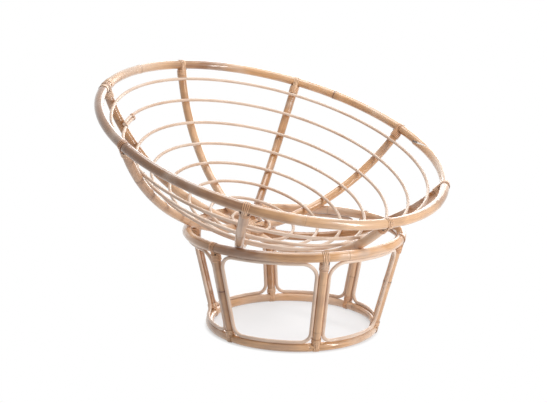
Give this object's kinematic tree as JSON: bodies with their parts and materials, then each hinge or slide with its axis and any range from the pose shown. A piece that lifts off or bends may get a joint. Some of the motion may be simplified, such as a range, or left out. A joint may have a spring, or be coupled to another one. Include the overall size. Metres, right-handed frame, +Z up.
{
  "type": "papasan chair",
  "caption": "Rattan papasan chair frame: a round bowl of ribs and hoops with a bound rim, resting tilted in the top ring of a drum-shaped pole base with open panels.",
  "frame": {"origin": "on the floor, under the middle of the whole chair seen from above, with the bowl at its pictured tilt", "axes": "+Z up; -Y is the front, where the rim is low; +X is the right side as seen from the front"},
  "size_m": [1.1184, 1.0602, 0.7758],
  "materials": {
    "pole": "varnished rattan pole",
    "strut": "varnished rattan pole",
    "rod": "peeled rattan core, satin",
    "peel": "split rattan peel, satin"
  },
  "bodies": {
    "base": {"top_ring": "pole", "foot_ring": "pole", "post_1": "strut", "panel_cane_1": "rod", "top_binding_1": "peel", "foot_binding_1": "peel", "post_2": "strut", "panel_cane_2": "rod", "top_binding_2": "peel", "foot_binding_2": "peel", "post_3": "strut", "panel_cane_3": "rod", "top_binding_3": "peel", "foot_binding_3": "peel", "post_4": "strut", "panel_cane_4": "rod", "top_binding_4": "peel", "foot_binding_4": "peel", "post_5": "strut", "panel_cane_5": "rod", "top_binding_5": "peel", "foot_binding_5": "peel", "post_6": "strut", "panel_cane_6": "rod", "top_binding_6": "peel", "foot_binding_6": "peel"},
    "bowl": {"rim_pole_front": "pole", "rim_pole_back": "pole", "rib_long": "strut", "rib_2": "strut", "rib_3": "strut", "rib_4": "strut", "rib_6": "strut", "rib_7": "strut", "rib_8": "strut", "hoop_1": "rod", "hoop_2": "rod", "hoop_3": "rod", "hoop_4": "rod", "hoop_5": "rod", "hoop_6": "rod", "hoop_7": "rod", "hoop_8": "rod", "rim_binding_1": "peel", "rim_binding_2": "peel", "rim_binding_3": "peel", "rim_binding_4": "peel", "rim_binding_5": "peel", "rim_binding_6": "peel", "rim_binding_7": "peel", "rim_binding_8": "peel", "splice_wrap_1": "peel", "splice_wrap_2": "peel", "hub_lashing": "peel"}
  },
  "joints": [
    {"name": "bowl_tilt", "type": "hinge", "parent": "base", "child": "bowl", "pos_m": [0, -0.09415, 0.85949], "axis": [1, 0, 0], "range_deg": [-18.9, 6]}
  ]
}
